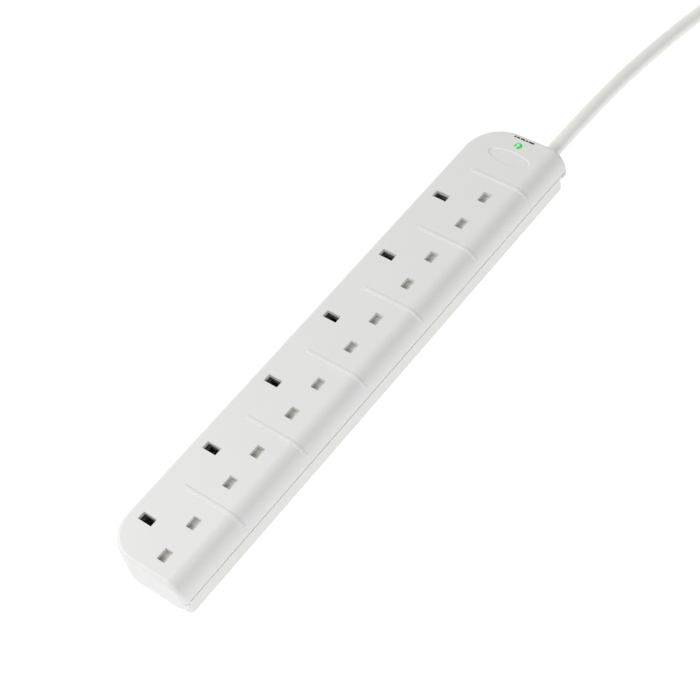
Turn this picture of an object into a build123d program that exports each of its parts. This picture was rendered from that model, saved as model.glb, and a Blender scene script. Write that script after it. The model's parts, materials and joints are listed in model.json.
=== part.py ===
from build123d import *
import os
from math import pi, radians, tan

# Six-way trailing socket strip with surge protection, 13 A square-pin sockets.
# +X runs to the cord end, +Y to the side with the earth holes, +Z up.
# The origin is under the middle of the housing, on the surface it stands on.

# ---- driving dimensions, millimetres ----
body_width = 55.4
body_height = 26.0
socket_count = 6
socket_pitch = 50.8
pin_spacing = 22.2
near_margin = 23.5
far_margin = 62.5
line_inset = 21.0
wall = 2.0
skin = 2.5
cord_diameter = 9.2

# ---- housing ----
foot_proud = 1.0
cover_lift = 2.0
split_height = 13.0
roll_width = 10.0
near_corner_radius = 20.0
far_corner_radius = 23.0
top_round = 2.4
parting_gap = 0.8
parting_depth = 0.9
screw_gap = 0.3
fit_gap = 0.1
base_inset = 1.3
base_near_radius = 2.5
base_far_radius = 6.0
lip_height = 1.9
bite = 0.2
body_length = near_margin + (socket_count - 1) * socket_pitch + far_margin
half_length = body_length / 2
half_width = body_width / 2
under_skin = body_height - skin
floor_top = foot_proud + wall
end_round = split_height - cover_lift

# ---- socket holes ----
pin_hole_x = 7.2
pin_hole_y = 5.2
earth_hole_x = 4.8
earth_hole_y = 9.2
line_y = line_inset - half_width
earth_y = line_y + pin_spacing
half_pin = pin_spacing / 2

# ---- shutters and the frames that guide them ----
shutter_travel = 6.4
shutter_gap = 0.5
shutter_thick = 1.6
wing_half_x = half_pin + pin_hole_x / 2 + 0.8
wing_half_y = 3.6
bridge_half_x = 5.0
ramp_half_x = 1.8
ramp_start = 17.8
ramp_back = ramp_start - 2.4
ramp_depth = 10.8
frame_gap = 0.4
frame_thick = 1.6
rail_thick = 1.2
rail_gap = 0.6
frame_half_x = wing_half_x + rail_gap + rail_thick
frame_low_y = line_y - 11.0
frame_high_y = line_y + 29.0
peg_x = 13.0
peg_y = line_y + 12.0
peg_radius = 1.5
stop_x = 10.0
spring_radius = 1.7
spring_wire = 0.4
spring_turns = 8
spring_seat = 1.6
spring_clearance = 0.25
lug_start = line_y + 4.6
lug_thick = 1.6
shutter_top = under_skin - shutter_gap
shutter_low = shutter_top - shutter_thick
frame_top = shutter_low - frame_gap
frame_low = frame_top - frame_thick

# ---- contacts ----
metal = 0.8
line_pin_wide = 6.35
line_pin_thick = 3.96
line_pin_long = 17.7
earth_pin_wide = 7.92
earth_pin_thick = 3.96
earth_pin_long = 22.7
leaf_half = line_pin_thick / 2 + 0.08
clip_half_x = 3.4
clip_top = body_height - 9.5
clip_low = body_height - line_pin_long - 1.6
bus_offset = 6.2
bus_low = clip_low + 1.3
bus_high = bus_low + 5.0
bus_overhang = 18.0
earth_bus_y = earth_y + 5.2
earth_bus_low = body_height - earth_pin_long + 0.9

# ---- cord entry, indicator and surge circuit ----
cord_y = 15.0 - half_width
cord_z = split_height + 0.5
lamp_x = half_length - 8.8
lamp_y = 27.1 - half_width
lamp_diameter = 4.8
leg_spacing = 1.27
leg_radius = 0.25
badge_x = half_length - 19.0
badge_y = lamp_y - 0.6
badge_half_x = 5.2
badge_half_y = 14.0
badge_depth = 0.45
clamp_x = half_length - 13.5
clamp_length = 8.0
clamp_half_y = cord_diameter / 2 + 5.3
clamp_split = 0.4
clamp_top = cord_z + cord_diameter / 2 + 1.0
grommet_wall = 2.0
grommet_flange = 3.0
lens_low = body_height - 6.0
board_right = lamp_y - 1.7
board_left = half_width - 3.7
board_x = half_length - 19.0
board_y = (board_right + board_left) / 2
board_length = 30.0
board_low = 8.0
board_thick = 1.6
board_top = board_low + board_thick
lead_radius = 0.3
lead_below = 1.2

# ---- fastenings ----
screw_radius = 1.5
head_radius = 2.9
head_height = 2.0
head_inset = 0.4
post_radius = 3.6
left_post_y = line_y + 15.7
right_post_y = 8.3 - half_width
foot_radius = 5.0
foot_sunk = 0.6

# ---- raised ribs between the sockets ----
rib_width = 2.0
rib_height = 0.5
rib_start_y = line_y + 19.2
rib_end_z = split_height + 6.3

# ---- cord, hank and plug ----
hank_gap = 172.0
hank_run = 17 * cord_diameter
hank_fold = 3 * cord_diameter
hank_layers = 3
tie_thick = 1.0
tie_width = 8.0
floor_gap = 0.2
hank_low = floor_gap + tie_thick
hank_x = half_length + hank_gap + hank_run / 2 + hank_fold + cord_diameter / 2
top_turn_z = hank_low + (hank_layers + 0.5) * cord_diameter
plug_length = 52.0
plug_width = 50.0
plug_height = 20.0
plug_pin_from_cord = 18.0
relief_length = 28.0
plug_start = half_length + 476.0
plug_y = -9.5
plug_cord_z = plug_height / 2
pin_root = 6.0
sleeve_length = 9.5
sleeve_wall = 0.7
carrier_x = plug_start + plug_pin_from_cord + 10.4
carrier_half_x = 4.3
carrier_half_y = 15.0
carrier_depth = 10.0
carrier_gap = 0.25
carrier_roof = 2.2
fuse_half = 12.8
fuse_radius = 3.15
fuse_cap = 6.0
fuse_gap = 0.1
core_radius = 1.3
sheath_end = half_length - 20.0

socket_xs = []
for number in range(socket_count):
    socket_xs.append(-half_length + near_margin + number * socket_pitch)
post_xs = []
for number in range(0, socket_count, 2):
    post_xs.append(socket_xs[number] + socket_pitch / 2)


# ---- helpers ----
def block(x0, x1, y0, y1, z0, z1):
    """A box between two corners."""
    size = Box(x1 - x0, y1 - y0, z1 - z0, align=(Align.MIN, Align.MIN, Align.MIN))
    return Pos(x0, y0, z0) * size


def post(x, y, z0, z1, radius):
    """An upright cylinder."""
    rod = Cylinder(radius, z1 - z0, align=(Align.CENTER, Align.CENTER, Align.MIN))
    return Pos(x, y, z0) * rod


def lying(x0, x1, y, z, radius):
    """A cylinder along X."""
    rod = Cylinder(radius, x1 - x0, align=(Align.CENTER, Align.CENTER, Align.MIN))
    return Pos(x0, y, z) * Rot(0, 90, 0) * rod


def side_prism(points, x0, x1):
    """A polygon given in Y and Z, drawn out along X."""
    face = Plane.YZ * make_face(Polyline(*points, close=True))
    return Pos(x0, 0, 0) * extrude(face, x1 - x0, dir=(1, 0, 0))


def tube_along(path, radius):
    """A round rod swept along a path."""
    start = Plane(origin=path @ 0, z_dir=path % 0)
    return sweep(start * Circle(radius), path=path)


def smooth_path(points, share=0.45):
    """Straight runs joined by arcs as large as the runs allow, with their radii."""
    vectors = [Vector(*point) for point in points]
    radii = []
    for before, corner, after in zip(vectors, vectors[1:], vectors[2:]):
        turn = radians((corner - before).get_angle(after - corner))
        shorter = min((corner - before).length, (after - corner).length)
        radii.append(share * shorter / tan(turn / 2))
    return FilletPolyline(*points, radius=radii), radii


def save(shape, name):
    """Write one sub-part to its own file."""
    export_step(shape, f"parts/{name}.step")


def joined(solids):
    """One shape from several separate solids."""
    return Compound(children=list(solids))


# ---- housing ----
def housing_section(inset, top, low):
    """The end-on outline: flat top, upright +Y side, rolled -Y side."""
    left = half_width - inset
    right = inset - half_width
    roll_start = roll_width - half_width
    top_arc = EllipticalCenterArc(
        (roll_start, split_height), roll_start - right, top - split_height,
        start_angle=90, arc_size=90)
    low_arc = EllipticalCenterArc(
        (right + end_round, split_height), end_round, split_height - low,
        start_angle=180, arc_size=90)
    lines = Curve() + [
        Line((right + end_round, low), (left, low)),
        Line((left, low), (left, top)),
        Line((left, top), (roll_start, top)),
        top_arc,
        low_arc,
    ]
    return Plane.YZ * make_face(lines)


def housing_plan(inset):
    """The outline from above: large corners on the +Y side only."""
    near = inset - half_length
    far = half_length - inset
    left = half_width - inset
    near_r = near_corner_radius - inset
    far_r = far_corner_radius - inset
    sheet = Rectangle(far - near, left + half_width + 4, align=(Align.MIN, Align.MAX))
    sheet = Pos(near, left) * sheet
    corners = sheet.vertices().sort_by(Axis.Y)[-2:].sort_by(Axis.X)
    sheet = fillet(corners[0], near_r)
    corners = sheet.vertices().group_by(Axis.Y)[-1].sort_by(Axis.X)
    return fillet(corners[-1], far_r)


def housing_solid(inset, top, low):
    """The rounded block of the housing, at a depth under its surface."""
    length = body_length - 2 * inset
    section = extrude(housing_section(inset, top, low), length, dir=(1, 0, 0))
    section = Pos(inset - half_length, 0, 0) * section
    plan = extrude(housing_plan(inset), body_height + 8)
    return section & Pos(0, 0, -4) * plan


def skin_block():
    """The outer block with its upper edge rounded on the ends and the +Y side."""
    solid = housing_solid(0, body_height, cover_lift)
    rim = []
    for edge in solid.edges():
        box = edge.bounding_box()
        on_top = box.min.Z > body_height - 0.01
        on_end = box.size.X < 0.01 and abs(abs(box.min.X) - half_length) < 0.01
        rolled = on_end and box.min.Z > split_height - 0.01 and box.max.Y < roll_width - half_width + 0.01
        outer = on_top and (on_end or box.max.Y > 0)
        if outer or rolled:
            rim.append(edge)
    return fillet(rim, top_round)


def top_rib(x):
    """A low rounded rib across the top and partly down the roll."""
    outer = housing_section(-rib_height, body_height + rib_height, cover_lift)
    inner = housing_section(bite, body_height - bite, cover_lift)
    band = extrude(outer - inner, rib_width, dir=(1, 0, 0))
    band = Pos(x - rib_width / 2, 0, 0) * band
    rib = band & block(
        x - rib_width, x + rib_width, -half_width - 1, rib_start_y, rib_end_z, body_height + 1)
    crest = [edge for edge in rib.edges() if on_crest(edge @ 0.5)]
    return fillet(crest, rib_height - 0.08)


def on_crest(point):
    """Whether a point is on a rib's outer surface, away from the seam where the roll begins."""
    roll_start = roll_width - half_width
    if abs(point.Y - roll_start) < 0.01:
        return False
    if point.Y > roll_start:
        return point.Z > body_height + rib_height / 2
    across = (roll_start - point.Y) / (roll_width + rib_height / 2)
    up = (point.Z - split_height) / (body_height - split_height + rib_height / 2)
    return across ** 2 + up ** 2 > 1


def socket_holes(x):
    """The three pin holes of one socket, through the skin."""
    low = under_skin - 1
    high = body_height + 1
    cutters = []
    for side in (-half_pin, half_pin):
        cutters.append(block(
            x + side - pin_hole_x / 2, x + side + pin_hole_x / 2,
            line_y - pin_hole_y / 2, line_y + pin_hole_y / 2, low, high))
    cutters.append(block(
        x - earth_hole_x / 2, x + earth_hole_x / 2,
        earth_y - earth_hole_y / 2, earth_y + earth_hole_y / 2, low, high))
    return cutters


def screw_places():
    """Where the base is screwed to the cover."""
    places = []
    for x in post_xs:
        places.append((x, left_post_y))
        places.append((x, right_post_y))
    return places


def rib_places():
    """Midway between sockets, and once more past the last one."""
    return [x + socket_pitch / 2 for x in socket_xs]


def top_cover():
    cover = skin_block()
    cover = cover - housing_solid(wall, under_skin, 0)
    cover = cover - block(
        -half_length + wall, half_length - wall,
        -half_width - 4, 0, cover_lift - 1, split_height + parting_gap / 2)
    cover = cover - block(
        -half_length - 1, half_length + 1, -half_width - 1, parting_depth - half_width,
        split_height - parting_gap / 2, split_height + parting_gap / 2)
    for x in rib_places():
        cover = cover + top_rib(x)
    for x in socket_xs:
        cover = cover - socket_holes(x)
        for side in (-1, 1):
            cover = cover + post(x + side * peg_x, peg_y, frame_low - 0.6, under_skin + bite, peg_radius)
    for x, y in screw_places():
        cover = cover + post(x, y, split_height, under_skin + bite, post_radius)
        cover = cover - post(x, y, split_height - 1, under_skin - 2, screw_radius)
    cover = cover - badge_recess()
    cover = cover - post(lamp_x, lamp_y, under_skin - 1, body_height + 1, lamp_diameter / 2)
    entry = lying(half_length - wall - 1, half_length + 1, cord_y, cord_z, cord_diameter / 2 + grommet_wall)
    return cover - entry


def badge_recess():
    """The shallow oval dish near the indicator, with sloping sides."""
    oval = extrude(Ellipse(badge_half_x, badge_half_y), badge_depth + 1)
    oval = chamfer(oval.faces().sort_by(Axis.Z)[0].edges(), badge_depth + 0.1)
    return Pos(badge_x, badge_y, body_height - badge_depth) * oval


def base_plan(side_inset):
    """The base from above, inside the cover, with small corners on the rolled side."""
    sheet = Rectangle(body_length, body_width, align=(Align.CENTER, Align.MIN))
    sheet = housing_plan(wall + fit_gap) & Pos(0, side_inset - half_width) * sheet
    corners = sheet.vertices().group_by(Axis.Y)[0].sort_by(Axis.X)
    sheet = fillet(corners[0], base_near_radius)
    corners = sheet.vertices().group_by(Axis.Y)[0].sort_by(Axis.X)
    return fillet(corners[-1], base_far_radius)


def base_side(side_inset, low, high):
    """An upright wall along the rolled side and round its corners."""
    plan = base_plan(side_inset)
    ring = extrude(plan - offset(plan, -wall), high - low)
    reach = side_inset + base_far_radius - half_width
    return Pos(0, 0, low) * ring & block(-half_length, half_length, -half_width - 1, reach, low, high)


def base_tray():
    tray = Pos(0, 0, foot_proud) * extrude(base_plan(base_inset), wall)
    side_top = split_height - parting_gap / 2
    tray = tray + base_side(base_inset, foot_proud, side_top)
    tray = tray + base_side(fit_gap, side_top - lip_height, side_top)
    for x in comb_places():
        tray = tray + busbar_comb(x)
    for x, y in screw_places():
        tray = tray + post(x, y, floor_top - bite, split_height - fit_gap, post_radius)
        tray = tray - post(x, y, 0, split_height + 1, screw_radius + screw_gap)
        tray = tray - post(x, y, 0, foot_proud + head_inset + head_height, head_radius + screw_gap)
    tray = tray + cord_cradle()
    for x, y in board_posts():
        tray = tray + post(x, y, floor_top - bite, board_low, 2.2)
    for x, y in foot_places():
        tray = tray - post(x, y, 0, foot_proud + foot_sunk, foot_radius + fit_gap)
    return tray


def foot_places():
    """The four rubber feet, near the corners."""
    reach_x = half_length - 22
    return [(x, y) for x in (-reach_x, reach_x) for y in (11.7 - half_width, half_width - 13.7)]


def feet():
    pads = []
    for x, y in foot_places():
        pads.append(post(x, y, 0, foot_proud + foot_sunk, foot_radius))
    return joined(pads)


def comb_places():
    """Ribs that carry the busbars: midway between each pair of screw posts and the next contact."""
    next_clip = socket_pitch / 2 - half_pin - clip_half_x
    return [x + (post_radius + next_clip) / 2 for x in post_xs]


def busbar_comb(x):
    """A rib across the floor, slotted for the busbars that stand in it."""
    slot = metal / 2 + 0.05
    right = line_y - bus_offset
    rib = block(x - 0.8, x + 0.8, right - 2.5, earth_bus_y + 2.5, floor_top - bite, bus_low + 2)
    for y, low in ((right, bus_low), (line_y + bus_offset, bus_low), (earth_bus_y, earth_bus_low)):
        rib = rib - block(x - 1, x + 1, y - slot, y + slot, low, bus_high)
    return rib


def clamp_block(low, high):
    """A block across the cord, with the cord's own round channel through it."""
    half_x = clamp_length / 2
    bar = block(clamp_x - half_x, clamp_x + half_x, cord_y - clamp_half_y, cord_y + clamp_half_y, low, high)
    return bar - lying(clamp_x - half_x - 1, clamp_x + half_x + 1, cord_y, cord_z, cord_diameter / 2)


def clamp_screw_ys():
    reach = cord_diameter / 2 + 2.3
    return (cord_y - reach, cord_y + reach)


def cord_cradle():
    """The block under the cord, with two screw holes."""
    cradle = clamp_block(floor_top - bite, cord_z - clamp_split)
    for y in clamp_screw_ys():
        cradle = cradle - post(clamp_x, y, cord_z - 9, cord_z, screw_radius)
    return cradle


def cord_clamp():
    """The bar screwed down over the cord's sheath."""
    bar = clamp_block(cord_z + clamp_split, clamp_top)
    for y in clamp_screw_ys():
        bar = bar - post(clamp_x, y, 0, clamp_top + 1, screw_radius + fit_gap)
    return bar


def screw(x, y, tip, under_head, up):
    """A pan-head screw with a cross slot; up is +1 when the head is on top."""
    shank_low = min(tip, under_head)
    shank_high = max(tip, under_head)
    head_low = under_head if up > 0 else under_head - head_height
    body = post(x, y, shank_low, shank_high, screw_radius) + post(x, y, head_low, head_low + head_height, head_radius)
    slot_low = head_low + head_height - 0.9 if up > 0 else head_low - 0.1
    for long_x, long_y in ((1.9, 0.35), (0.35, 1.9)):
        body = body - block(x - long_x, x + long_x, y - long_y, y + long_y, slot_low, slot_low + 1.0)
    return body


def clamp_screws():
    return joined([screw(clamp_x, y, cord_z - 8.5, clamp_top, 1) for y in clamp_screw_ys()])


def case_screws():
    seat = foot_proud + head_inset + head_height
    return joined([screw(x, y, under_skin - 2.5, seat, -1) for x, y in screw_places()])


def cord_grommet():
    """The ring that lines the hole in the end wall, flanged inside."""
    inside = half_length - wall
    radius = cord_diameter / 2
    ring = lying(inside - 2.5, half_length - 0.2, cord_y, cord_z, radius + grommet_wall)
    ring = ring + lying(inside - 2.5, inside, cord_y, cord_z, radius + grommet_flange)
    return ring - lying(inside - 9, half_length + 9, cord_y, cord_z, radius)


# ---- shutters ----
def shutter(x):
    """Covers the line and neutral holes; the earth pin drives its ramp towards -Y."""
    plate = block(x - wing_half_x, x + wing_half_x, line_y - wing_half_y, line_y + wing_half_y, shutter_low, shutter_top)
    edge = plate.edges().filter_by(Axis.X).group_by(Axis.Z)[-1].sort_by(Axis.Y)[0]
    plate = chamfer(edge, shutter_thick / 2)
    bridge = block(
        x - bridge_half_x, x + bridge_half_x,
        line_y + wing_half_y - bite, line_y + ramp_back + 1, shutter_low, shutter_top)
    back = line_y + ramp_back
    top = line_y + ramp_start
    toe = top + shutter_travel
    toe_high = shutter_top - ramp_depth
    ramp = side_prism([
        (back, shutter_top), (top, shutter_top), (toe, toe_high), (toe, toe_high - 1),
        (toe - 2.2, toe_high - 1), (back, shutter_low - 0.5)],
        x - ramp_half_x, x + ramp_half_x)
    lug = block(x - 2.2, x + 2.2, lug_start, lug_start + lug_thick, shutter_low - 4, shutter_low + bite)
    return plate + bridge + ramp + lug


def shutter_frame(x):
    """The tray under a shutter: rails, end stops, slots for the pins and a seat for the spring."""
    frame = block(x - frame_half_x, x + frame_half_x, frame_low_y, frame_high_y, frame_low, frame_top)
    shut_stop_y = line_y + wing_half_y + 0.3
    for side in (-1, 1):
        rail_x = x + side * (frame_half_x - rail_thick / 2)
        frame = frame + block(
            rail_x - rail_thick / 2, rail_x + rail_thick / 2,
            frame_low_y, frame_high_y, frame_low, under_skin)
        frame = frame + block(
            x + side * stop_x - 2, x + side * stop_x + 2,
            shut_stop_y, shut_stop_y + 1.1, frame_low, shutter_top)
        frame = frame + block(
            x + side * stop_x - 4, x + side * stop_x + 4,
            frame_low_y, frame_low_y + 0.7, frame_low, shutter_top)
    seat_y = frame_low_y + spring_seat
    frame = frame + block(x - 3.2, x + 3.2, frame_low_y, seat_y, frame_low - 2.6, frame_top)
    frame = frame - block(x - 2.6, x + 2.6, seat_y, lug_start + lug_thick + 0.3, 0, frame_top + 1)
    for side in (-half_pin, half_pin):
        frame = frame - block(
            x + side - pin_hole_x / 2 - 0.2, x + side + pin_hole_x / 2 + 0.2,
            line_y - pin_hole_y / 2 - 0.2, line_y + pin_hole_y / 2 + 0.2, 0, frame_top + 1)
    slot_start = line_y + ramp_back - shutter_travel - 0.4
    slot_half_x = ramp_half_x + 1.1
    frame = frame - block(x - slot_half_x, x + slot_half_x, slot_start, earth_y + earth_hole_y / 2 + 0.4, 0, frame_top + 1)
    for side in (-1, 1):
        frame = frame - post(x + side * peg_x, peg_y, 0, frame_top + 1, peg_radius)
    return frame & housing_solid(wall + 0.2, under_skin, cover_lift)


def shutter_spring(x):
    """A compression spring along Y, between the frame's seat and the shutter's lug."""
    start = frame_low_y + spring_seat + spring_clearance
    height = lug_start - spring_clearance - start
    coil = Helix(
        height / spring_turns, height, spring_radius,
        center=(x, start, frame_low - 0.1), direction=(0, 1, 0))
    return tube_along(coil, spring_wire / 2)


# ---- busbars with their spring contacts ----
def line_clip(x, bus_side):
    """Two leaves astride a flat pin, joined below it and to the busbar."""
    outer = leaf_half + metal
    clip = block(x - clip_half_x, x + clip_half_x, line_y - outer, line_y + outer, clip_low, clip_low + metal)
    for near in (line_y - outer, line_y + leaf_half):
        clip = clip + block(x - clip_half_x, x + clip_half_x, near, near + metal, clip_low, clip_top)
    tab = sorted([line_y + bus_side * leaf_half, line_y + bus_side * bus_offset])
    return clip + block(x - 1.5, x + 1.5, tab[0], tab[1], bus_low, bus_low + metal)


def line_busbar(side):
    """The strip along the row of holes, with a contact at each socket; side -1 is live."""
    y = line_y + side * bus_offset
    bar = block(
        socket_xs[0] - bus_overhang, socket_xs[-1] + bus_overhang,
        y - metal / 2, y + metal / 2, bus_low, bus_high)
    for x in socket_xs:
        bar = bar + line_clip(x - side * half_pin, side)
    return bar


def earth_busbar():
    """The strip behind the earth holes, with a forked contact at each socket."""
    bar = block(
        socket_xs[0] - 6, socket_xs[-1] + bus_overhang,
        earth_bus_y - metal / 2, earth_bus_y + metal / 2, earth_bus_low, earth_bus_low + 5)
    for x in socket_xs:
        for near in (x - leaf_half - metal, x + leaf_half):
            bar = bar + block(
                near, near + metal, earth_y - 4.2, earth_bus_y + metal / 2,
                earth_bus_low, earth_bus_low + 5.5)
    return bar


# ---- wires ----
def core(points):
    """One insulated conductor through a few points."""
    path = smooth_path(points, 0.4)[0]
    return tube_along(path, core_radius)


def live_core():
    end = socket_xs[-1] + 12
    y = line_y - bus_offset - metal / 2 - core_radius
    return core([
        (sheath_end, cord_y - 1.8, cord_z), (sheath_end - 10, cord_y - 1.8, cord_z),
        (end + 8, y, bus_high - 1.6), (end, y, bus_high - 2.0)])


def neutral_core():
    end = socket_xs[-1] + 12
    y = line_y + bus_offset - metal / 2 - core_radius
    return core([
        (sheath_end, cord_y + 1.8, cord_z - 0.8), (sheath_end - 8, cord_y + 1.8, cord_z - 0.8),
        (end + 9, y, bus_high - 1.2), (end, y, bus_high - 1.6)])


def earth_core():
    end = socket_xs[-1] + 12
    y = earth_bus_y - metal / 2 - core_radius
    return core([
        (sheath_end, cord_y + 0.4, cord_z + 2.0), (sheath_end - 9, cord_y + 0.4, cord_z + 2.0),
        (end + 10, cord_y + 14, bus_high + 2.5), (end + 8, y - 1, earth_bus_low + 4),
        (end, y, earth_bus_low + 3)])


# ---- indicator and surge circuit ----
def lamp_lens():
    """A domed light pipe in the cover, just proud of it."""
    radius = lamp_diameter / 2 - 0.05
    pipe = post(lamp_x, lamp_y, lens_low, body_height, radius)
    pipe = pipe + post(lamp_x, lamp_y, lens_low, under_skin - 0.05, radius + 0.8)
    dome = Pos(lamp_x, lamp_y, body_height - 3.0) * Sphere(3.8)
    return pipe + (dome & post(lamp_x, lamp_y, body_height - bite, body_height + 2, radius))


def lamp():
    """The light-emitting diode under the lens, on its two legs."""
    top = lens_low - 0.2
    bulb_radius = 1.5
    rim_low = top - 5.4
    bulb = post(lamp_x, lamp_y, rim_low, top - bulb_radius, bulb_radius)
    bulb = bulb + Pos(lamp_x, lamp_y, top - bulb_radius) * Sphere(bulb_radius)
    bulb = bulb + post(lamp_x, lamp_y, rim_low, rim_low + 0.8, bulb_radius + 0.4)
    for side in (-1, 1):
        bulb = bulb + post(lamp_x + side * leg_spacing, lamp_y, board_low - lead_below, rim_low + bite, leg_radius)
    return bulb


def board_posts():
    return [(board_x - 12, board_y + 9), (board_x - 12, board_y - 9), (board_x + 9, board_y - 7)]


def surge_board():
    """The board, cornered like the housing, with holes for the component legs."""
    outline = Pos(board_x, board_y) * Rectangle(board_length, board_left - board_right)
    board = Pos(0, 0, board_low) * extrude(outline & housing_plan(wall + 1.2), board_thick)
    for side in (-1, 1):
        board = board - post(lamp_x + side * leg_spacing, lamp_y, 0, body_height, leg_radius)
        for x, y in varistor_places():
            board = board - post(x, y + side * 2.5, 0, body_height, lead_radius)
    return board


def varistor_places():
    return [(board_x - 10 + 6 * number, board_y + 4) for number in range(3)]


def varistors():
    """Three coated discs on edge, the parts that clip a surge."""
    discs = []
    for x, y in varistor_places():
        disc = lying(x - 1.9, x + 1.9, y, board_top + 6.6, 5.0)
        for side in (-1, 1):
            disc = disc + post(x, y + side * 2.5, board_low - lead_below, board_top + 4, lead_radius)
        discs.append(disc)
    return joined(discs)


def thermal_fuse():
    """A sealed can on the board, with a lead at each end."""
    y = board_y - 6
    z = board_top + 2.1
    return lying(board_x - 9, board_x + 2, y, z, 2.0) + lying(board_x - 12, board_x + 5, y, z, 0.4)


def filter_capacitor():
    """A boxed capacitor that stands on the board."""
    x = board_x + 8
    y = board_y + 1.8
    case = block(x - 3, x + 3, y - 6.5, y + 6.5, board_top, board_top + 10)
    return fillet(case.edges().filter_by(Axis.Z), 0.6)


def rating_label():
    """A blank label under the base, in the space that the feet leave."""
    return block(-38, 38, -12, 12, foot_proud - 0.15, foot_proud)


# ---- cord ----
cord_route = [
    (half_length - 20, cord_y, cord_z),
    (half_length + 50, cord_y, cord_z),
    (half_length + 121, -16.0, 7.2),
    (half_length + 193, -29.0, 5.2),
    (half_length + 233, -hank_fold, hank_low + cord_diameter / 2),
]
tail_route = [
    (half_length + 196, -26.8, top_turn_z),
    (half_length + 240, -hank_fold, top_turn_z),
    (half_length + 325, -hank_fold, top_turn_z),
    (half_length + 383, -28.4, 33.6),
    (half_length + 413, -21.5, 21.0),
    (half_length + 441, -10.0, 10.3),
    (half_length + 474, plug_y, plug_cord_z),
]


def cord_tube(points, name):
    """A stretch of the cord that isn't coiled, with its bend radii and volume checked."""
    path, radii = smooth_path(points)
    tube = tube_along(path, cord_diameter / 2)
    section = pi * (cord_diameter / 2) ** 2
    print(name, "radii", [round(radius) for radius in radii])
    print(name, "length", round(path.length), "volume ratio", round(tube.volume / (section * path.length), 4))
    return tube


def hank_ring(layers, grow):
    """The outline of the elongated winding, some turns high, grown outwards."""
    outer = SlotCenterToCenter(hank_run, 2 * hank_fold + cord_diameter + 2 * grow)
    inner = SlotCenterToCenter(hank_run, 2 * hank_fold - cord_diameter - 2 * grow)
    ring = extrude(outer - inner, layers * cord_diameter + 2 * grow)
    ring = fillet(ring.edges(), cord_diameter / 2 - 0.15 + grow)
    return Pos(hank_x, 0, hank_low - grow) * ring


def cord_hank():
    """The outer shape of the wound length of cord, without the last run that lies on it."""
    return hank_ring(hank_layers, 0)


def hank_ties():
    """A strap closed around each long side of the hank, and on one side around the last run too."""
    bands = []
    for near, far, layers in ((-60, 0, hank_layers + 1), (0, 60, hank_layers)):
        reach = block(hank_x - tie_width / 2, hank_x + tie_width / 2, near, far, 0, 60)
        bands.append((hank_ring(layers, tie_thick) - hank_ring(layers, 0)) & reach)
    return joined(bands)


# ---- plug ----
power_pin_x = plug_start + plug_pin_from_cord
power_pin_ys = (plug_y - half_pin, plug_y + half_pin)
earth_pin_x = power_pin_x + pin_spacing


def flat_pin(x, y, size_x, size_y, low, high):
    return block(x - size_x / 2, x + size_x / 2, y - size_y / 2, y + size_y / 2, low, high)


def pin_sleeve(y):
    """The insulating sleeve that fills the neck of a power pin."""
    high = plug_height + sleeve_length
    neck = flat_pin(
        power_pin_x, y, line_pin_thick - 2 * sleeve_wall, line_pin_wide - 2 * sleeve_wall,
        plug_height - 1, high + 1)
    return flat_pin(power_pin_x, y, line_pin_thick, line_pin_wide, plug_height, high) - neck


def power_pin(y):
    """A brass pin with a chamfered tip, necked for its sleeve."""
    top = plug_height + line_pin_long
    pin = flat_pin(power_pin_x, y, line_pin_thick, line_pin_wide, plug_height - pin_root, top)
    pin = chamfer(pin.faces().sort_by(Axis.Z)[-1].edges(), 0.9)
    return pin - pin_sleeve(y)


def earth_pin():
    top = plug_height + earth_pin_long
    pin = flat_pin(earth_pin_x, plug_y, earth_pin_wide, earth_pin_thick, plug_height - pin_root, top)
    return chamfer(pin.faces().sort_by(Axis.Z)[-1].edges(), 0.9)


def plug_outline():
    """The plug from above: tight corners by the cord, wide ones beyond the earth pin."""
    sheet = Pos(plug_start + plug_length / 2, plug_y) * Rectangle(plug_length, plug_width)
    sheet = fillet(sheet.vertices().group_by(Axis.X)[0], 7)
    return fillet(sheet.vertices().group_by(Axis.X)[-1], 16)


def plug_body():
    solid = extrude(plug_outline(), plug_height)
    solid = fillet(solid.edges().group_by(Axis.Z)[0], 3.0)
    solid = fillet(solid.edges().group_by(Axis.Z)[-1], 1.2)
    low = plug_height - pin_root
    high = plug_height + 1
    for y in power_pin_ys:
        solid = solid - flat_pin(power_pin_x, y, line_pin_thick, line_pin_wide, low, high)
    solid = solid - flat_pin(earth_pin_x, plug_y, earth_pin_wide, earth_pin_thick, low, high)
    room_x = carrier_half_x + carrier_gap
    room_y = carrier_half_y + carrier_gap
    solid = solid - block(
        carrier_x - room_x, carrier_x + room_x, plug_y - room_y, plug_y + room_y,
        plug_height - carrier_depth - carrier_gap, high)
    return solid - lying(plug_start - 1, plug_start + 4, plug_y, plug_cord_z, cord_diameter / 2)


def fuse_carrier():
    """The lift-out tray that holds the fuse, level with the plug's face."""
    low = plug_height - carrier_depth
    tray = block(
        carrier_x - carrier_half_x, carrier_x + carrier_half_x,
        plug_y - carrier_half_y, plug_y + carrier_half_y, low, plug_height)
    tray = tray - block(
        carrier_x - carrier_half_x - 1, carrier_x + carrier_half_x + 1,
        plug_y - fuse_half, plug_y + fuse_half, low - 1, plug_height - carrier_roof)
    tray = tray - block(
        carrier_x - 1.2, carrier_x + 1.2, plug_y - 6, plug_y + 6, plug_height - 0.6, plug_height + 1)
    for near in (carrier_x - carrier_half_x, carrier_x + carrier_half_x - 0.8):
        tray = tray + block(near, near + 0.8, plug_y - 5, plug_y + 5, low + 1.5, plug_height - carrier_roof + bite)
    return tray


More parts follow.
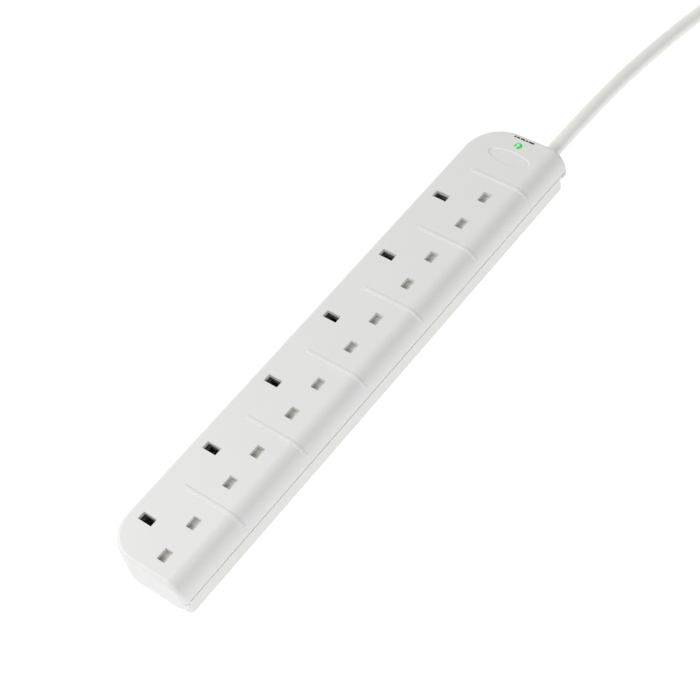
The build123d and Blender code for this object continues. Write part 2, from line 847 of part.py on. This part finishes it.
def plug_fuse():
    """The cartridge fuse: a ceramic tube between two metal caps."""
    z = plug_height - carrier_roof - fuse_gap - fuse_radius
    turned = Pos(carrier_x, plug_y - fuse_half + fuse_gap, z) * Rot(-90, 0, 0)
    long = 2 * (fuse_half - fuse_gap)
    rod = turned * Cylinder(fuse_radius - 0.15, long, align=(Align.CENTER, Align.CENTER, Align.MIN))
    for offset in (0, long - fuse_cap):
        cap = Cylinder(fuse_radius, fuse_cap, align=(Align.CENTER, Align.CENTER, Align.MIN))
        rod = rod + turned * Pos(0, 0, offset) * cap
    return rod


def strain_relief():
    """The tapered sleeve where the cord enters the plug, ringed to bend evenly."""
    thin = cord_diameter / 2 + 1.0
    thick = cord_diameter / 2 + 3.6
    start = plug_start - relief_length
    cone = Cone(thin, thick, relief_length, align=(Align.CENTER, Align.CENTER, Align.MIN))
    cone = Pos(start, plug_y, plug_cord_z) * Rot(0, 90, 0) * cone
    for number in range(4):
        from_start = 5.0 + number * 6.0
        groove = lying(start + from_start, start + from_start + 1.6, plug_y, plug_cord_z, thick + 1)
        left_radius = thin + (thick - thin) * (from_start + 0.8) / relief_length - 0.9
        middle = lying(start, plug_start, plug_y, plug_cord_z, left_radius)
        cone = cone - (groove - middle)
    return cone - lying(start - 1, plug_start + 1, plug_y, plug_cord_z, cord_diameter / 2)


# ---- write every sub-part ----
os.makedirs("parts", exist_ok=True)

save(top_cover(), "top_cover")
save(base_tray(), "base_tray")
save(feet(), "rubber_feet")
save(case_screws(), "case_screws")
save(rating_label(), "rating_label")
for number, x in enumerate(socket_xs, start=1):
    save(shutter(x), f"shutter_{number}")
    save(shutter_frame(x), f"shutter_frame_{number}")
    save(shutter_spring(x), f"shutter_spring_{number}")
save(line_busbar(-1), "live_busbar")
save(line_busbar(1), "neutral_busbar")
save(earth_busbar(), "earth_busbar")
save(live_core(), "live_core")
save(neutral_core(), "neutral_core")
save(earth_core(), "earth_core")
save(lamp_lens(), "lamp_lens")
save(lamp(), "lamp_diode")
save(surge_board(), "surge_board")
save(varistors(), "varistors")
save(thermal_fuse(), "thermal_fuse")
save(filter_capacitor(), "filter_capacitor")
save(cord_clamp(), "cord_clamp")
save(clamp_screws(), "clamp_screws")
save(cord_grommet(), "cord_grommet")
save(cord_tube(cord_route, "flex_cord"), "flex_cord")
save(cord_tube(tail_route, "cord_tail"), "cord_tail")
save(cord_hank(), "cord_hank")
save(hank_ties(), "hank_ties")
save(plug_body(), "plug_body")
save(power_pin(power_pin_ys[0]), "plug_live_pin")
save(power_pin(power_pin_ys[1]), "plug_neutral_pin")
save(earth_pin(), "plug_earth_pin")
save(joined([pin_sleeve(y) for y in power_pin_ys]), "plug_pin_sleeves")
save(fuse_carrier(), "plug_fuse_carrier")
save(plug_fuse(), "plug_fuse")
save(strain_relief(), "plug_strain_relief")
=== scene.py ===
import json
from math import cos, pi, sin

import bmesh
import bpy
from mathutils import Matrix, Vector


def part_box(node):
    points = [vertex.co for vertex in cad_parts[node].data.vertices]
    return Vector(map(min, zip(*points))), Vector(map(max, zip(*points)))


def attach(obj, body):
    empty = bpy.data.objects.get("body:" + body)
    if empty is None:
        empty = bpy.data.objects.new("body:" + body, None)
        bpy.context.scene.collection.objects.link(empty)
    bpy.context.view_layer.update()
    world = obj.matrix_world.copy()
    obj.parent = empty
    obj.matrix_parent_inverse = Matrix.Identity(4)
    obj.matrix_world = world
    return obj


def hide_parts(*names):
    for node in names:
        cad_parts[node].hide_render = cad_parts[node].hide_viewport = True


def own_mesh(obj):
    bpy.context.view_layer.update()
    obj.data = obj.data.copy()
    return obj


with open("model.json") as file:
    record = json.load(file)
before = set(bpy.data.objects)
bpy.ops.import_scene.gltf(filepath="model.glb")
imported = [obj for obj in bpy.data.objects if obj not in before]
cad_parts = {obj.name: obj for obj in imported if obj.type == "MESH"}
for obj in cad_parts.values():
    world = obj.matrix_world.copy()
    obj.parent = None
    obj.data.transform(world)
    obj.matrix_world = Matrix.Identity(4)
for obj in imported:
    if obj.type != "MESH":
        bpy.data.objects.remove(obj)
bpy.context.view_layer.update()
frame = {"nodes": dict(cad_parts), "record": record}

nodes = frame["nodes"]

# ---- camera, metres, in the part's frame ----
CAMERA_PLACE = (-0.381620, -0.439559, 0.733776)
CAMERA_RIGHT = (0.606699, -0.779675, -0.154992)
CAMERA_UP = (0.680106, 0.408160, 0.608984)
CAMERA_BACK = (-0.411548, -0.474881, 0.777892)
SENSOR_MM = 36.0
LENS_MM = 87.85
NEAREST_SEEN = 0.01
FURTHEST_SEEN = 50.0

# ---- floor and light ----
FLOOR_HALF = 40.0
FLOOR_GREY = 0.30
FLOOR_ROUGHNESS = 0.9
FLOOR_GLOW = 0.85
SKY_GLOW = 0.30
LIGHT_COLOUR = (1.0, 0.998, 0.99)
# Each soft box: its place, the point it faces, its width, its height and its power in watts.
LIGHTS = {
    "key": ((-0.30, 1.62, 1.70), (0, 0, 0), 1.2, 1.2, 37.0),
    "accent": ((-1.50, -0.55, 1.25), (0, 0, 0), 0.5, 0.5, 10.0),
    "fill": ((0.05, -1.6, 0.30), (0.05, 0, 0.02), 1.8, 0.4, 5.0),
}

# ---- housing, metres ----
HOUSE_HEIGHT = 0.025
END_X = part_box("top_cover")[1].x
TOP_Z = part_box("base_tray")[0].z + HOUSE_HEIGHT
SOCKETS = 6
LENS_RADIUS = 0.0024

# ---- printed mark, metres ----
MARK_GAP = 0.0019
MARK_START = -0.0078
MARK_DASHES = (0.0036, 0.0014, 0.0030, 0.0020, 0.0012)
MARK_WIDE = 0.0011
MARK_SPACE = 0.0006
INK_THICK = 0.00003

# ---- cord, metres ----
CORD_DIAMETER = 0.0092
CORD_Y = (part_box("cord_grommet")[0].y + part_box("cord_grommet")[1].y) / 2
CORD_Z = (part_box("cord_grommet")[0].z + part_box("cord_grommet")[1].z) / 2
HANK_LOW, HANK_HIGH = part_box("cord_hank")
HANK_X = (HANK_LOW.x + HANK_HIGH.x) / 2
HANK_RUN = 17 * CORD_DIAMETER
FOLD = 3 * CORD_DIAMETER
LOWEST = HANK_LOW.z + CORD_DIAMETER / 2
TURNS = 3
ARC_STEPS = 8
RUN_STEPS = (0.1, 0.36, 0.64, 0.9)

# ---- finishes, each named for its material slot ----
# Colour, the shade its unevenness reaches, roughness and, where it isn't the usual, the depth of
# the moulded grain in metres.
MOULDED = {
    "cover_plastic": ((0.815, 0.815, 0.812), (0.80, 0.80, 0.80), 0.42),
    "base_plastic": ((0.815, 0.815, 0.795), (0.79, 0.79, 0.765), 0.45),
    "frame_plastic": ((0.34, 0.33, 0.30), (0.30, 0.29, 0.26), 0.5),
    "shutter_plastic": ((0.72, 0.70, 0.65), (0.67, 0.65, 0.60), 0.4),
    "grommet_rubber": ((0.78, 0.78, 0.74), (0.72, 0.72, 0.68), 0.6),
    "foot_rubber": ((0.045, 0.045, 0.045), (0.06, 0.06, 0.06), 0.75, 0.00006),
    "label_film": ((0.84, 0.84, 0.84), (0.80, 0.80, 0.81), 0.3, 0.00001),
    "core_brown": ((0.16, 0.07, 0.03), (0.13, 0.05, 0.02), 0.35),
    "core_blue": ((0.03, 0.13, 0.48), (0.02, 0.1, 0.4), 0.35),
    "varistor_blue": ((0.03, 0.09, 0.35), (0.02, 0.06, 0.28), 0.3),
    "capacitor_case": ((0.62, 0.42, 0.04), (0.56, 0.36, 0.03), 0.35),
    "tie_plastic": ((0.82, 0.82, 0.79), (0.77, 0.77, 0.74), 0.4),
    "plug_plastic": ((0.80, 0.805, 0.80), (0.775, 0.78, 0.775), 0.4),
    "sleeve_plastic": ((0.02, 0.02, 0.02), (0.03, 0.03, 0.03), 0.4),
    "carrier_plastic": ((0.72, 0.72, 0.70), (0.68, 0.68, 0.66), 0.4),
    "fuse_ceramic": ((0.82, 0.79, 0.70), (0.78, 0.75, 0.66), 0.25),
}
# Colour, shade, roughness and, for metal drawn or stamped one way, how its lines are stretched.
METALS = {
    "spring_steel": ((0.62, 0.62, 0.63), (0.5, 0.5, 0.52), 0.3),
    "screw_steel": ((0.70, 0.70, 0.71), (0.6, 0.6, 0.62), 0.3),
    "contact_brass": ((0.80, 0.62, 0.30), (0.70, 0.50, 0.22), 0.3, (0.1, 1, 1)),
    "pin_brass": ((0.83, 0.66, 0.34), (0.76, 0.57, 0.26), 0.22, (1, 1, 0.1)),
    "fuse_can": ((0.66, 0.66, 0.66), (0.55, 0.55, 0.55), 0.35),
}
LENS_GLOW = 0.75
# Where along the lens's radius each colour is reached, and the colour.
LENS_CENTRE = (0.12, (0.30, 0.66, 0.46, 1))
LENS_RIM = (0.62, (0.035, 0.37, 0.048, 1))
DIODE_GLOW = 1.5
STRIPE_SCALE = 90


# ---- camera ----
def place_camera():
    """The photograph's viewpoint: high, off the end without the cord, on the rolled side."""
    turn = Matrix((CAMERA_RIGHT, CAMERA_UP, CAMERA_BACK)).transposed()
    data = bpy.data.cameras.new("camera")
    data.sensor_width = SENSOR_MM
    data.lens = LENS_MM
    data.clip_start = NEAREST_SEEN
    data.clip_end = FURTHEST_SEEN
    camera = bpy.data.objects.new("camera", data)
    camera.matrix_world = Matrix.Translation(CAMERA_PLACE) @ turn.to_4x4()
    bpy.context.scene.collection.objects.link(camera)
    bpy.context.scene.camera = camera


# ---- floor and light ----
def soft_light(name, place, aim, width, height, power):
    """A rectangular soft box that faces a point."""
    data = bpy.data.lights.new(name, "AREA")
    data.shape = "RECTANGLE"
    data.size = width
    data.size_y = height
    data.energy = power
    data.color = LIGHT_COLOUR
    light = bpy.data.objects.new(name, data)
    light.location = place
    light.rotation_euler = (Vector(aim) - Vector(place)).to_track_quat("-Z", "Y").to_euler()
    bpy.context.scene.collection.objects.link(light)


def build_stage():
    """A plain glowing floor under an even sky, with a key, an accent and a fill soft box."""
    mesh = bpy.data.meshes.new("floor")
    half = FLOOR_HALF
    corners = [(-half, -half, 0), (half, -half, 0), (half, half, 0), (-half, half, 0)]
    mesh.from_pydata(corners, [], [(0, 1, 2, 3)])
    floor = bpy.data.objects.new("floor", mesh)
    bpy.context.scene.collection.objects.link(floor)
    paper = bpy.data.materials.new("paper")
    paper.use_nodes = True
    shader = paper.node_tree.nodes["Principled BSDF"]
    shader.inputs["Base Color"].default_value = (FLOOR_GREY, FLOOR_GREY, FLOOR_GREY, 1)
    shader.inputs["Roughness"].default_value = FLOOR_ROUGHNESS
    shader.inputs["Emission Color"].default_value = (1, 1, 1, 1)
    shader.inputs["Emission Strength"].default_value = FLOOR_GLOW
    mesh.materials.append(paper)

    world = bpy.data.worlds.new("studio")
    world.use_nodes = True
    sky = world.node_tree.nodes["Background"]
    sky.inputs["Color"].default_value = (1, 1, 1, 1)
    sky.inputs["Strength"].default_value = SKY_GLOW
    bpy.context.scene.world = world
    bpy.context.scene.view_settings.view_transform = "Standard"
    for name, setting in LIGHTS.items():
        soft_light(name, *setting)


# ---- materials ----
class Paint:
    """A principled material built up from a few procedural layers."""

    def __init__(self, name, colour, roughness, metallic=0.0, coat=0.0):
        self.material = bpy.data.materials.new(name)
        self.material.use_nodes = True
        self.tree = self.material.node_tree
        self.shader = self.tree.nodes["Principled BSDF"]
        self.shader.inputs["Base Color"].default_value = (*colour, 1)
        self.shader.inputs["Roughness"].default_value = roughness
        self.shader.inputs["Metallic"].default_value = metallic
        self.shader.inputs["Coat Weight"].default_value = coat
        self.colour = colour
        self.roughness = roughness
        self.bump = None
        self.place = self.tree.nodes.new("ShaderNodeTexCoord").outputs["Object"]

    def noise(self, scale, detail, stretch=(1, 1, 1)):
        """Noise with features about 1/scale metres across."""
        place = self.tree.nodes.new("ShaderNodeMapping")
        place.inputs["Scale"].default_value = stretch
        self.tree.links.new(self.place, place.inputs["Vector"])
        node = self.tree.nodes.new("ShaderNodeTexNoise")
        node.inputs["Scale"].default_value = scale
        node.inputs["Detail"].default_value = detail
        self.tree.links.new(place.outputs["Vector"], node.inputs["Vector"])
        return node.outputs["Fac"]

    def spread(self, factor, low, high):
        """Stretches the middle of a noise to run from low to high."""
        node = self.tree.nodes.new("ShaderNodeMapRange")
        node.inputs["From Min"].default_value = 0.3
        node.inputs["From Max"].default_value = 0.7
        node.inputs["To Min"].default_value = low
        node.inputs["To Max"].default_value = high
        self.tree.links.new(factor, node.inputs["Value"])
        return node.outputs["Result"]

    def tint(self, factor, other, share=1.0):
        """Mixes another colour in where the factor is high."""
        mix = self.tree.nodes.new("ShaderNodeMix")
        mix.data_type = "RGBA"
        colours = [socket for socket in mix.inputs if socket.type == "RGBA"]
        colours[0].default_value = (*self.colour, 1)
        colours[1].default_value = (*other, 1)
        self.tree.links.new(self.spread(factor, 0.0, share), mix.inputs["Factor"])
        result = [out for out in mix.outputs if out.type == "RGBA"][0]
        self.tree.links.new(result, self.shader.inputs["Base Color"])

    def gloss(self, factor, change):
        """Varies the roughness by a change up and down."""
        spread = self.spread(factor, self.roughness - change, self.roughness + change)
        self.tree.links.new(spread, self.shader.inputs["Roughness"])

    def relief(self, height, distance, strength):
        """Adds a bump layer over any there already."""
        node = self.tree.nodes.new("ShaderNodeBump")
        node.inputs["Strength"].default_value = strength
        node.inputs["Distance"].default_value = distance
        self.tree.links.new(height, node.inputs["Height"])
        if self.bump:
            self.tree.links.new(self.bump, node.inputs["Normal"])
        self.bump = node.outputs["Normal"]
        self.tree.links.new(self.bump, self.shader.inputs["Normal"])


def moulded(name, colour, shade, roughness, grain=0.00002):
    """Moulded plastic: fine spark texture, faint flow marks and uneven gloss."""
    paint = Paint(name, colour, roughness)
    paint.tint(paint.noise(scale=35, detail=3), shade, share=0.6)
    paint.gloss(paint.noise(scale=90, detail=5), change=0.05)
    paint.relief(paint.noise(scale=2600, detail=2), grain, strength=0.35)
    flow = paint.noise(scale=160, detail=3, stretch=(0.25, 1, 1))
    paint.relief(flow, grain * 2, strength=0.2)
    return paint.material


def metal(name, colour, shade, roughness, stretch=(1, 1, 1)):
    """Bare metal with drawn or stamped lines and slight tarnish."""
    paint = Paint(name, colour, roughness, metallic=1.0)
    paint.tint(paint.noise(scale=240, detail=6), shade, share=0.8)
    paint.gloss(paint.noise(scale=900, detail=4, stretch=stretch), change=0.1)
    lines = paint.noise(scale=1800, detail=3, stretch=stretch)
    paint.relief(lines, 0.00002, strength=0.4)
    return paint.material


def striped_insulation():
    """The earth core's green insulation, striped with yellow."""
    paint = Paint("core_green_yellow", (0.09, 0.36, 0.05), 0.35)
    wave = paint.tree.nodes.new("ShaderNodeTexWave")
    wave.inputs["Scale"].default_value = STRIPE_SCALE
    paint.tree.links.new(paint.place, wave.inputs["Vector"])
    paint.tint(wave.outputs["Fac"], (0.75, 0.62, 0.03))
    paint.relief(paint.noise(scale=1500, detail=2), 0.00002, strength=0.3)
    return paint.material


def board_laminate():
    """The surge board's green laminate, with the weave under it."""
    paint = Paint("board_laminate", (0.03, 0.19, 0.07), 0.35)
    paint.tint(paint.noise(scale=700, detail=3), (0.04, 0.24, 0.09))
    weave = paint.noise(scale=1600, detail=2, stretch=(1, 0.2, 1))
    paint.relief(weave, 0.00003, strength=0.3)
    return paint.material


def cord_sheath():
    """The lead's off-white sheath."""
    paint = Paint("cord_sheath", (0.90, 0.90, 0.865), 0.38)
    paint.tint(paint.noise(scale=60, detail=3), (0.875, 0.875, 0.835), share=0.7)
    paint.gloss(paint.noise(scale=300, detail=3), change=0.05)
    paint.relief(paint.noise(scale=700, detail=3), 0.00005, strength=0.3)
    return paint.material


def lit_lens():
    """The indicator's lens, lit from below: whitish at its centre and green towards its rim."""
    low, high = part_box("lamp_lens")
    paint = Paint("lens_green", (0.04, 0.38, 0.05), 0.15, coat=0.5)
    tree = paint.tree
    offset = tree.nodes.new("ShaderNodeVectorMath")
    offset.operation = "SUBTRACT"
    offset.inputs[1].default_value = (low + high) / 2
    tree.links.new(paint.place, offset.inputs[0])
    flat = tree.nodes.new("ShaderNodeVectorMath")
    flat.operation = "MULTIPLY"
    flat.inputs[1].default_value = (1, 1, 0)
    tree.links.new(offset.outputs["Vector"], flat.inputs[0])
    distance = tree.nodes.new("ShaderNodeVectorMath")
    distance.operation = "LENGTH"
    tree.links.new(flat.outputs["Vector"], distance.inputs[0])
    share = tree.nodes.new("ShaderNodeMapRange")
    share.inputs["From Max"].default_value = LENS_RADIUS
    tree.links.new(distance.outputs["Value"], share.inputs["Value"])
    ramp = tree.nodes.new("ShaderNodeValToRGB")
    for stop, (place, colour) in zip(ramp.color_ramp.elements, (LENS_CENTRE, LENS_RIM)):
        stop.position = place
        stop.color = colour
    tree.links.new(share.outputs["Result"], ramp.inputs["Fac"])
    tree.links.new(ramp.outputs["Color"], paint.shader.inputs["Base Color"])
    tree.links.new(ramp.outputs["Color"], paint.shader.inputs["Emission Color"])
    paint.shader.inputs["Emission Strength"].default_value = LENS_GLOW
    paint.relief(paint.noise(scale=900, detail=2), 0.00002, strength=0.3)
    return paint.material


def lit_diode():
    """The green diode under the lens."""
    paint = Paint("diode_green", (0.2, 0.8, 0.25), 0.2)
    paint.tint(paint.noise(scale=1200, detail=2), (0.3, 0.9, 0.35))
    paint.shader.inputs["Emission Strength"].default_value = DIODE_GLOW
    paint.shader.inputs["Emission Color"].default_value = (0.1, 0.9, 0.2, 1)
    return paint.material


def build_materials():
    """One finish for each of the record's material slots."""
    made = {name: moulded(name, *finish) for name, finish in MOULDED.items()}
    made.update({name: metal(name, *finish) for name, finish in METALS.items()})
    made["core_green_yellow"] = striped_insulation()
    made["board_laminate"] = board_laminate()
    made["cord_sheath"] = cord_sheath()
    made["lens_green"] = lit_lens()
    made["diode_green"] = lit_diode()
    return made


def dress_nodes(made):
    """Gives every CAD node the finish of its material slot in the record."""
    for part in frame["record"]["subparts"]:
        name, slot = part["node"], part["material_slot"]
        mesh = nodes[name].data
        mesh.materials.clear()
        mesh.materials.append(made[slot])


# ---- shutter springs ----
def build_springs(made):
    """The shutters' return springs, each its own copy of the CAD spring, fixed to the housing; on
    the real strip they shorten as their shutters slide.
    """
    for number in range(1, SOCKETS + 1):
        name = f"shutter_spring_{number}"
        mesh = nodes[name].data.copy()
        mesh.name = f"return_spring_{number}"
        mesh.materials.clear()
        mesh.materials.append(made["spring_steel"])
        spring = bpy.data.objects.new(f"return_spring_{number}", mesh)
        bpy.context.scene.collection.objects.link(spring)
        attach(spring, "housing")
        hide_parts(name)
        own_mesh(spring)


# ---- printed mark ----
def build_mark(made):
    """A row of plain printed dashes beside the indicator, where the real one has a word."""
    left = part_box("lamp_lens")[1].x + MARK_GAP
    shape = bmesh.new()
    start = MARK_START
    for length in MARK_DASHES:
        corners = []
        for x, y in ((0, 0), (MARK_WIDE, 0), (MARK_WIDE, length), (0, length)):
            corners.append(shape.verts.new((left + x, start + y, TOP_Z)))
        face = shape.faces.new(corners)
        lid = bmesh.ops.extrude_face_region(shape, geom=[face])["geom"]
        raised = [item for item in lid if isinstance(item, bmesh.types.BMVert)]
        bmesh.ops.translate(shape, verts=raised, vec=(0, 0, INK_THICK))
        start += length + MARK_SPACE
    bmesh.ops.recalc_face_normals(shape, faces=shape.faces)
    mesh = bpy.data.meshes.new("printed_mark")
    shape.to_mesh(mesh)
    shape.free()
    mesh.materials.append(made["sleeve_plastic"])
    mark = bpy.data.objects.new("printed_mark", mesh)
    bpy.context.scene.collection.objects.link(mark)
    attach(mark, "housing")


# ---- cord ----
def eased(share):
    """A rise from 0 to 1 that starts and ends level."""
    return share * share * (3 - 2 * share)


def fold_points(centre_x, start_angle, height, climb):
    """Half a turn about a point on the hank's centre line, which rises by climb as it goes."""
    wide = FOLD / cos(pi / ARC_STEPS / 2)
    points = []
    for step in range(ARC_STEPS):
        along = (step + 0.5) / ARC_STEPS
        angle = along * pi + start_angle
        rise = height + climb * eased(along)
        points.append((centre_x + wide * cos(angle), wide * sin(angle), rise))
    return points


def run_points(start, side_y, height, shares):
    """A straight run of the hank."""
    return [(start + share * HANK_RUN, side_y, height) for share in shares]


def hank_points():
    """Three turns stacked on each other, each rising to the next at the fold nearer the strip."""
    points = []
    start = HANK_X - HANK_RUN / 2
    for turn in range(TURNS):
        height = LOWEST + turn * CORD_DIAMETER
        points += run_points(start, -FOLD, height, RUN_STEPS)
        points += fold_points(start + HANK_RUN, -pi / 2, height, 0)
        points += run_points(start, FOLD, height, reversed(RUN_STEPS))
        points += fold_points(start, pi / 2, height, CORD_DIAMETER)
    return points


def cord_points():
    """The whole lead, from inside the housing to inside the plug's strain relief."""
    top = LOWEST + TURNS * CORD_DIAMETER
    out = [
        (END_X - 0.020, CORD_Y, CORD_Z),
        (END_X + 0.050, CORD_Y, CORD_Z),
        (END_X + 0.121, -0.0160, 0.0072),
        (END_X + 0.193, -0.0290, 0.0052),
    ]
    tail = [
        (END_X + 0.240, -FOLD, top),
        (END_X + 0.325, -FOLD, top),
        (END_X + 0.383, -0.0284, 0.0336),
        (END_X + 0.413, -0.0215, 0.0210),
        (END_X + 0.441, -0.0100, 0.0103),
        (END_X + 0.474, -0.0095, 0.0100),
    ]
    return out + hank_points() + tail


def build_cord(made):
    """The lead as one round tube along its route."""
    data = bpy.data.curves.new("cord", "CURVE")
    data.dimensions = "3D"
    spline = data.splines.new("NURBS")
    points = cord_points()
    spline.points.add(len(points) - 1)
    for point, place in zip(spline.points, points):
        point.co = (*place, 1)
    spline.order_u = 3
    spline.use_endpoint_u = True
    spline.resolution_u = 10
    data.bevel_depth = CORD_DIAMETER / 2
    data.bevel_resolution = 8
    data.use_fill_caps = True
    data.materials.append(made["cord_sheath"])
    cord = bpy.data.objects.new("cord", data)
    bpy.context.scene.collection.objects.link(cord)
    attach(cord, "housing")
    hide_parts("flex_cord", "cord_hank", "cord_tail")


place_camera()
build_stage()
finishes = build_materials()
dress_nodes(finishes)
build_springs(finishes)
build_mark(finishes)
build_cord(finishes)
